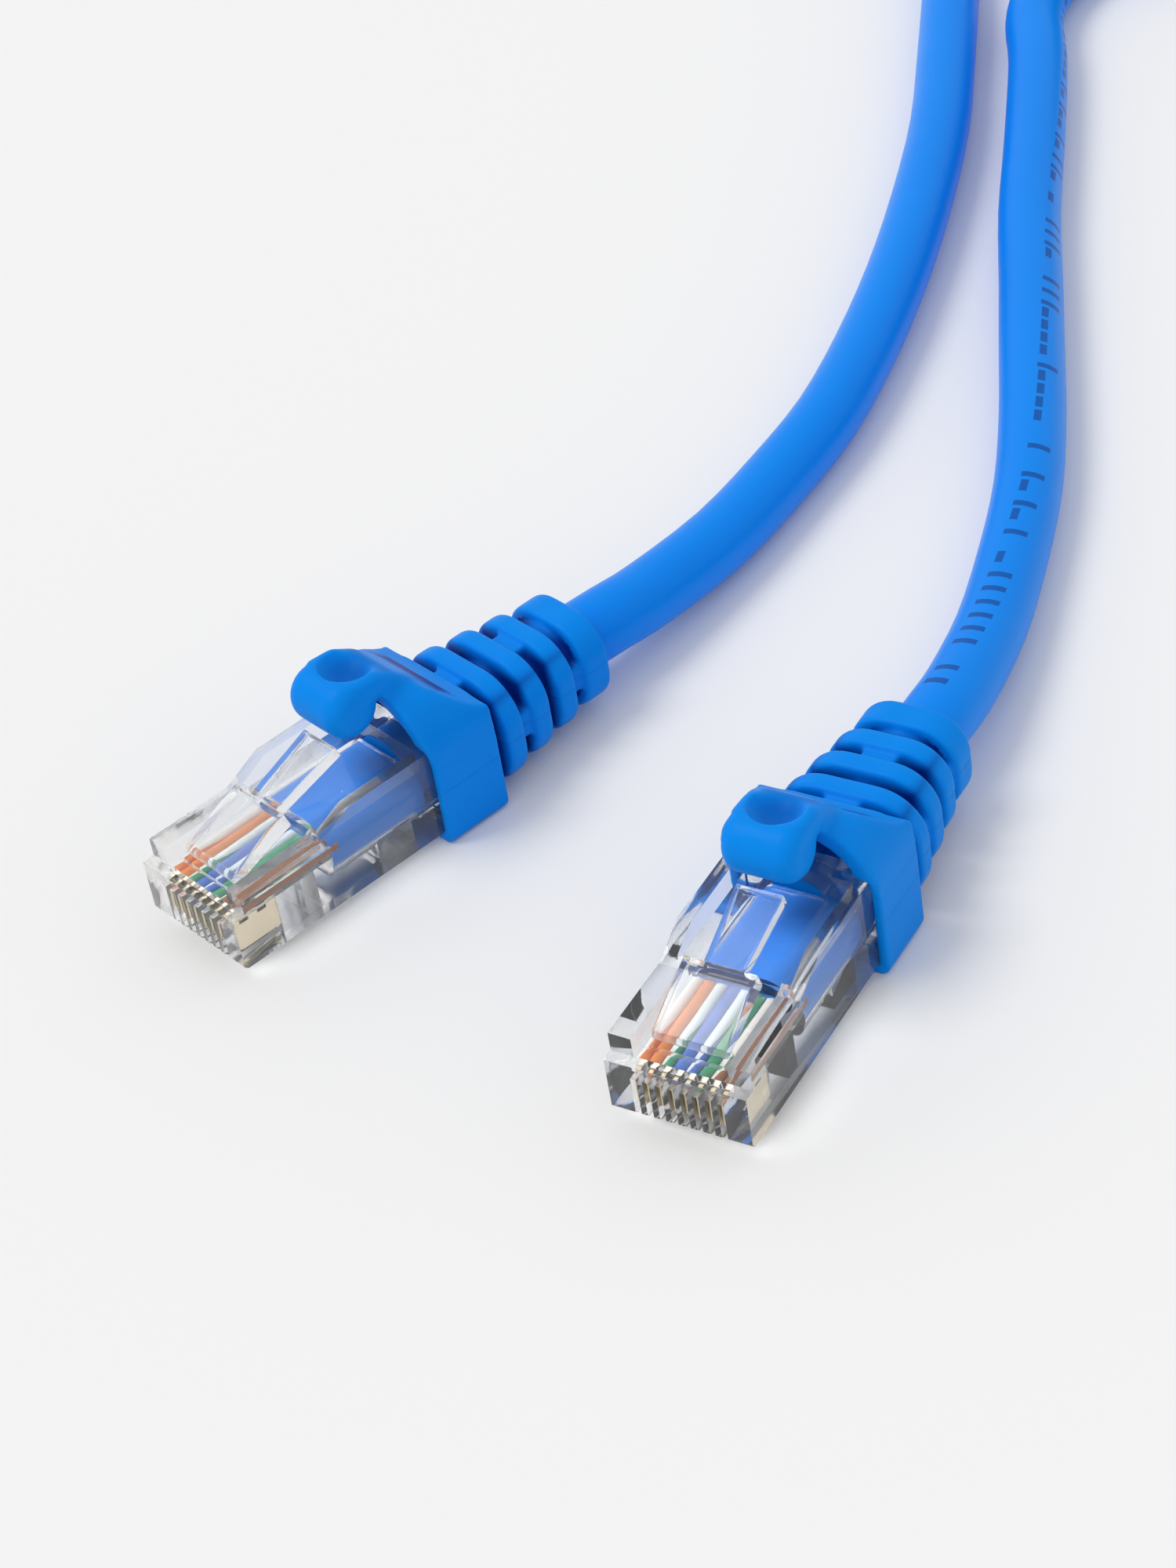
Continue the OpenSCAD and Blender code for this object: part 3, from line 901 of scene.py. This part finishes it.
@dataclass
class Boot:
    """A soft boot: collar, hood over the latch, and ribbed strain relief, moulded in one."""

    collar_start: float = 20.75
    collar_end: float = 27.15
    collar_half: float = 6.69
    collar_low: float = -1.0
    collar_top: float = 9.6
    shoulder_r: float = 3.3
    foot_r: float = 0.8
    rib_width: float = 12.4
    ring_width: float = 9.4
    rib_height: float = 10.0
    ring_height: float = 8.46
    rib_length: float = 2.0
    rib_gap: float = 1.3
    ribs: int = 3
    ring_length: float = 2.8
    axis_z: float = 4.1
    core_r: float = 3.45
    bulb: tuple[float, float] = (17.02, 13.35)
    bulb_r: float = 2.5
    hood_half: float = 3.2
    visor_top: float = 14.0
    tunnel_half: float = 4.6
    tunnel_top: float = 12.2
    socket_half: float = 5.87
    socket_end: float = 22.6
    socket_low: float = -0.04
    socket_top: float = 8.34
    thumb_r: float = 2.7
    thumb_back: float = 1.9
    thumb_rise: float = 1.25
    bulb_lip: float = 1.4
    web_half: float = 1.5
    side_web_half: float = 1.2
    web_inset: float = 0.5
    web_sink: float = 0.3
    voxel: float = 0.17
    brow_rounds: int = 50
    all_rounds: int = 5

    def plate(self, width: float, height: float, y0: float, y1: float) -> Form:
        """Make a rounded rib between two places."""
        form = Form.block((-width / 2, y0, self.axis_z - height / 2), (width / 2, y1, self.axis_z + height / 2))
        form.soften(form.edges_along(1), 0.4 * height, 10)
        rims = [e for e in form.bm.edges if abs(e.verts[0].co.y - e.verts[1].co.y) < 1e-6]
        return form.soften(rims, 0.45, 3)

    def collar(self) -> Form:
        """Make the collar: broad round shoulders, and a nearly square foot."""
        form = Form.block(
            (-self.collar_half, self.collar_start, self.collar_low),
            (self.collar_half, self.collar_end, self.collar_top),
        )
        form.soften(form.edges_along(1, lambda p: p.z > 0), self.shoulder_r, 10)
        return form.soften(form.edges_along(1, lambda p: p.z < self.collar_low + 0.01), self.foot_r, 4)

    def arch(self, outline: Sequence[tuple[float, float]], half: float, top: float, corner: float) -> Form:
        """Make a solid that is an arch from the front.

        Args:
            outline: its side outline, in y and z.
            half: half its width.
            top: the arch's top.
            corner: the radius of the arch's corners.

        Returns:
            The solid.
        """
        span = Form.block((-half, self.bulb[0] - 3, -2), (half, self.collar_end, top))
        span.soften(span.edges_along(1, lambda p: p.z > top - 0.01), corner, 14)
        return Form.slab(outline, half + 1).join(span, Join.KEEP)

    def visor(self) -> Form:
        """Make the part of the hood that stands on the collar as an arch and slopes down behind."""
        return self.arch(
            [(27.1, 7.0), (27.1, 9.4), (25.4, 10.5), (23.6, 12.2), (22.0, 13.6), (20.8, 14.0), (19.7, 13.4),
             (19.9, 11.4), (20.75, 7.0)],
            self.collar_half - 0.05, self.visor_top, 6.2,
        )

    def tongue(self) -> Form:
        """Make the neck between the visor and the bulb."""
        y, z = self.bulb
        top = z + self.bulb_r
        neck = Form.slab(
            [(y, top), (y + 2.6, top - 0.2), (y + 4.4, top - 1.2), (23.4, 12.8), (22.6, 11.2), (21.2, 12.3),
             (y + 2.6, z - 0.2), (y, z - 0.6)],
            self.hood_half,
        )
        return neck.soften(neck.end_rims(), 0.9, 4)

    def strain_relief(self) -> list[Form]:
        """Make the ribs, the webs between them, the core and the end ring."""
        inset, ring = self.web_inset, self.ring_start()
        parts = [Form.rod(self.core_r, self.collar_end - 0.5, ring + 0.5, self.axis_z)]
        for i in range(self.ribs + 1):
            gap = self.collar_end + i * (self.rib_gap + self.rib_length)
            width, height = self.rib_size(i)
            if i % 2 == 0:
                half = self.web_half
                low, high = (-half, self.axis_z - height / 2 + inset), (half, self.axis_z + height / 2 - inset)
            else:
                half = self.side_web_half
                low, high = (inset - width / 2, self.axis_z - half), (width / 2 - inset, self.axis_z + half)
            y0, y1 = gap - self.web_sink, gap + self.rib_gap + self.web_sink
            parts.append(Form.block((low[0], y0, low[1]), (high[0], y1, high[1])))
            if i < self.ribs:
                parts.append(self.plate(width, height, gap + self.rib_gap, gap + self.rib_gap + self.rib_length))
        parts.append(self.plate(self.ring_width, self.ring_height, ring, ring + self.ring_length))
        return parts

    def ring_start(self) -> float:
        """Give where the end ring starts."""
        return self.collar_end + self.ribs * (self.rib_gap + self.rib_length) + self.rib_gap

    def rib_size(self, i: float) -> tuple[float, float]:
        """Give the width and height of a rib, which get smaller towards the ring."""
        share = i / self.ribs
        width = self.rib_width + (self.ring_width - self.rib_width) * share
        return width, self.rib_height + (self.ring_height - self.rib_height) * share

    def tunnel(self) -> Form:
        """Make the arched way over the latch, under the visor."""
        return self.arch(
            [(17.0, 6.0), (17.0, 12.6), (20.4, 12.4), (22.4, 11.1), (24.2, 9.3), (25.2, 8.0), (25.2, 6.0)],
            self.tunnel_half, self.tunnel_top, 3.8,
        )

    def socket(self) -> Form:
        """Make the opening that the plug's rear sits in."""
        return Form.block(
            (-self.socket_half, self.collar_start - 1, self.socket_low),
            (self.socket_half, self.socket_end, self.socket_top),
        )

    def thumb_hollow(self) -> Form:
        """Make the ball that leaves the dip for a thumb behind the bulb."""
        y, z = self.bulb
        return Form.ball((0, y + self.thumb_back, z + self.bulb_r + self.thumb_rise), self.thumb_r)

    def build(self) -> bpy.types.Mesh:
        """Fuse the parts, cut the hollows, round every edge as a soft moulding's are, and keep on each point how
        strongly painted shade darkens its colour.

        Returns:
            The boot's mesh, in the plug's own millimetres.
        """
        solid = self.collar().join(self.visor(), Join.ADD).join(self.tongue(), Join.ADD)
        for part in self.strain_relief():
            solid = solid.join(part, Join.ADD)
        solid = solid.join(self.socket(), Join.CUT).join(self.tunnel(), Join.CUT)
        solid = solid.join(Form.roller(*self.bulb, self.bulb_r, self.hood_half, self.bulb_lip), Join.ADD)
        solid = solid.join(self.thumb_hollow(), Join.CUT)
        rough = new_object("boot_rough", solid.mesh("boot_rough"))
        fuse = rough.modifiers.new("fuse", "REMESH")
        fuse.mode, fuse.voxel_size, fuse.use_smooth_shade = "VOXEL", self.voxel, True
        soft = new_object("boot_soft", settled(rough, "boot_soft"))
        brow = soft.vertex_groups.new(name="brow")
        for vert in soft.data.vertices:
            brow.add([vert.index], self.softness(vert.co), "REPLACE")
        for group, rounds in (("brow", self.brow_rounds), ("", self.all_rounds)):
            calm = soft.modifiers.new("calm", "SMOOTH")
            calm.factor, calm.iterations, calm.vertex_group = 0.5, rounds, group
        mesh = settled(soft, "boot_skin")
        for old in (rough, soft):
            bpy.data.objects.remove(old)
        shade_smooth(mesh)
        # store on each point how strongly painted shade darkens the boot's colour
        depth = mesh.attributes.new("painted_cavity_shade", "FLOAT", "POINT")
        for vert, value in zip(mesh.vertices, depth.data):
            value.value = self.depth(vert.co)
        return mesh

    def softness(self, p: Vector) -> float:
        """Give how much more a point is rounded on the visor than elsewhere, from 0 to 1."""
        past_bulb = smooth((p.y - self.bulb[0] - 2) / 2)
        return past_bulb * smooth((self.collar_end - 0.2 - p.y) / 0.6) * smooth((p.z - self.collar_top + 2.5) / 2)

    def depth(self, p: Vector) -> float:
        """Give how deep a point lies in the boot's gaps, in the thumb's dip or under its visor, from 0 to 1: how
        strongly painted shade darkens its colour there.
        """
        if p.y > self.collar_end:
            share = (p.y - self.collar_end) / (self.ring_start() - self.collar_end)
            width, height = self.rib_size(self.ribs * min(1.0, share))
            inside = min(width / 2 - abs(p.x), height / 2 - abs(p.z - self.axis_z))
            return smooth((inside - 0.3) / 1.3) if share < 1 else 0.0
        y, z = self.bulb
        if p.z > z:
            below = smooth((z + self.bulb_r - 0.25 - p.z) / 1.2)
            across = smooth((2.6 - abs(p.x)) / 0.6)
            behind = smooth((2.8 - abs(p.y - y - self.thumb_back)) / 0.8)
            return 0.55 * below * across * behind
        within = min(self.tunnel_half + 0.2 - abs(p.x), self.tunnel_top + 0.3 - p.z, p.y - 19.6)
        return smooth(within / 1.6) if p.z > 6 and p.y < 25.4 else 0.0

    def fit(self, mesh: bpy.types.Mesh, placing: Placing, palette: Palette) -> bpy.types.Object:
        """Put a boot on one plug, in place of the CAD boot and hood."""
        skin = place(new_object(f"boot_skin_{placing.end}", mesh.copy()), placing)
        skin.data.materials.append(palette.boot)
        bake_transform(skin)
        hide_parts(f"boot_{placing.end}", f"boot_hood_{placing.end}")
        return skin


# --------------------------------------------------------------------- plug


@dataclass
class Plug:
    """A clear modular plug with its contacts, conductors and the jacket's end."""

    placing: Placing
    palette: Palette
    edge: float = 0.14
    pitch: float = 1.02
    wire_r: float = 0.46
    wire_z: float = 4.1
    wire_start: float = 1.35
    wire_end: float = 11.6
    wire_parts: int = 24
    core_r: float = 0.24

    def clear_copy(self, node: str, name: str, body: str) -> bpy.types.Object:
        """Make a clear piece from a CAD node's own shape, with every edge eased.

        Args:
            node: the CAD node it stands for.
            name: the piece's name.
            body: the body it rides on.

        Returns:
            The piece.
        """
        bm = bmesh.new()
        bm.from_mesh(frame["nodes"][node].data)
        bmesh.ops.remove_doubles(bm, verts=bm.verts, dist=2e-6)
        bmesh.ops.dissolve_limit(bm, angle_limit=math.radians(2), verts=bm.verts, edges=bm.edges)
        piece = new_object(name, Form(bm).mesh(name))
        ease = piece.modifiers.new("ease", "BEVEL")
        ease.width, ease.segments, ease.profile = self.edge * MM, 2, 0.5
        ease.limit_method, ease.angle_limit = "ANGLE", math.radians(35)
        ease.use_clamp_overlap = True
        piece.data.materials.clear()
        piece.data.materials.append(self.palette.clear)
        shade_smooth(piece.data, 30)
        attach(piece, body)
        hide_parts(node)
        return piece

    def wire(self, i: int, pin: Pin) -> bpy.types.Object:
        """Make one insulated conductor with its copper showing at the cut.

        Args:
            i: its number, from 1.
            pin: its insulation.

        Returns:
            The conductor.
        """
        x = (i - 4.5) * self.pitch
        line = []
        for k in range(self.wire_parts + 1):
            y = self.wire_start + (self.wire_end - self.wire_start) * k / self.wire_parts
            sway = 0.03 * math.sin(1.1 * y + 2.3 * i) * smooth((y - 3) / 4)
            line.append(self.placing.point(x + sway, y, self.wire_z + 0.5 * sway))
        name = f"wire_{self.placing.end}_{i}"
        wire = Tube(self.wire_r * MM, 20).build(name, line)
        wire.data.materials.append(self.palette.wires[pin])
        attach(wire, "cable")
        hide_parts(f"conductor_{self.placing.end}_{i}")
        bar = Form.rod(self.core_r, self.wire_start - 0.03, self.wire_start + 0.6, self.wire_z, x)
        core = place(new_object(f"core_{self.placing.end}_{i}", bar.mesh("core")), self.placing)
        core.data.materials.append(self.palette.copper)
        shade_smooth(core.data, 40)
        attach(core, "cable")
        return wire

    def build(self) -> None:
        """Make and dress every piece of the plug."""
        end = self.placing.end
        self.clear_copy(f"plug_housing_{end}", f"plug_shell_{end}", "cable")
        self.clear_copy(f"latch_{end}", f"latch_arm_{end}", f"latch_tab_{end}")
        for i, pin in enumerate(Pin, start=1):
            self.wire(i, pin)
            dress(f"contact_{end}_{i}", self.palette.gold)
        for node in ("wire_clamp", "jacket_clamp"):
            dress(f"{node}_{end}", self.palette.clear)
        dress(f"jacket_end_{end}", self.palette.jacket)
        log.info("plug %s done", end)


def dress(node: str, material: bpy.types.Material) -> None:
    """Give a CAD node its material."""
    data = frame["nodes"][node].data
    data.materials.clear()
    data.materials.append(material)
    log.info("%s dressed in %s", node, material.name)


# ------------------------------------------------------------------- studio


@dataclass
class Studio:
    """A pale table, soft light from the upper left, and the camera."""

    eye: tuple[float, float, float] = (0.13164, -0.17921, 0.18880)
    ahead: tuple[float, float, float] = (-0.4524, 0.6319, -0.6293)
    roll: float = math.radians(-10.2)
    lens: float = 84.42
    sensor: float = 36.0
    table: Colour = (0.90, 0.90, 0.90)
    sky: float = 0.70
    sun: float = 1.1
    sun_angle: float = math.radians(28)
    sun_from: tuple[float, float, float] = (-0.62, -0.30, 1.15)

    def camera(self) -> None:
        """Set up the camera."""
        data = bpy.data.cameras.new("camera")
        data.lens, data.sensor_width, data.sensor_fit = self.lens, self.sensor, "AUTO"
        data.clip_start, data.clip_end = 0.01, 20.0
        camera = bpy.data.objects.new("camera", data)
        bpy.context.scene.collection.objects.link(camera)
        ahead = Vector(self.ahead).normalized()
        right = ahead.cross(Vector((0, 0, 1))).normalized()
        up = right.cross(ahead)
        c, s = math.cos(self.roll), math.sin(self.roll)
        side, top = c * right + s * up, -s * right + c * up
        pose = Matrix((side, top, -ahead)).transposed().to_4x4()
        pose.translation = Vector(self.eye)
        camera.matrix_world = pose
        bpy.context.scene.camera = camera

    def floor(self) -> None:
        """Lay the table's top."""
        bm = bmesh.new()
        bmesh.ops.create_grid(bm, x_segments=1, y_segments=1, size=3.0)
        floor = new_object("table_top", Form(bm).mesh("table_top"))
        paint = Paint("table_white")
        paint.shader(Base_Color=rgba(self.table), Roughness=0.85, Specular_IOR_Level=0.2)
        floor.data.materials.append(paint.material)

    def lights(self) -> None:
        """Light the table evenly, with a soft sun from the upper left."""
        world = bpy.data.worlds.new("soft_sky")
        bpy.context.scene.world = world
        world.use_nodes = True
        tree = world.node_tree
        back = tree.nodes["Background"]
        back.inputs["Strength"].default_value = self.sky
        back.inputs["Color"].default_value = (1.0, 1.0, 1.0, 1.0)
        sun = bpy.data.lights.new("window", "SUN")
        sun.energy, sun.angle = self.sun, self.sun_angle
        lamp = bpy.data.objects.new("window", sun)
        bpy.context.scene.collection.objects.link(lamp)
        lamp.rotation_mode = "QUATERNION"
        lamp.rotation_quaternion = Vector(self.sun_from).to_track_quat("Z", "Y")

    def colours(self) -> None:
        """Show the colours as they are, with no film look."""
        view = bpy.context.scene.view_settings
        view.view_transform, view.look = "Standard", "None"

    def build(self) -> None:
        """Set up the whole studio but its camera."""
        self.floor()
        self.lights()
        self.colours()


# --------------------------------------------------------------------- main


def main() -> None:
    """Build the studio and every piece, in order."""
    logging.basicConfig(level=logging.INFO, format="%(message)s")
    studio = Studio()
    studio.camera()
    ends = [Placing.of_plug(end) for end in "ab"]
    cord = PatchCord(*ends)
    line = cord.centreline()
    run = sum((b - a).length for a, b in zip(line, line[1:]))
    log.info("cable line %.4f m", run)
    palette = Palette(run)
    cord.build(line, palette)
    boot = Boot()
    mesh = boot.build()
    log.info("boot skin %d faces", len(mesh.polygons))
    for placing in ends:
        Plug(placing, palette).build()
        boot.fit(mesh, placing, palette)
    studio.build()


if __name__ == "__main__":
    main()
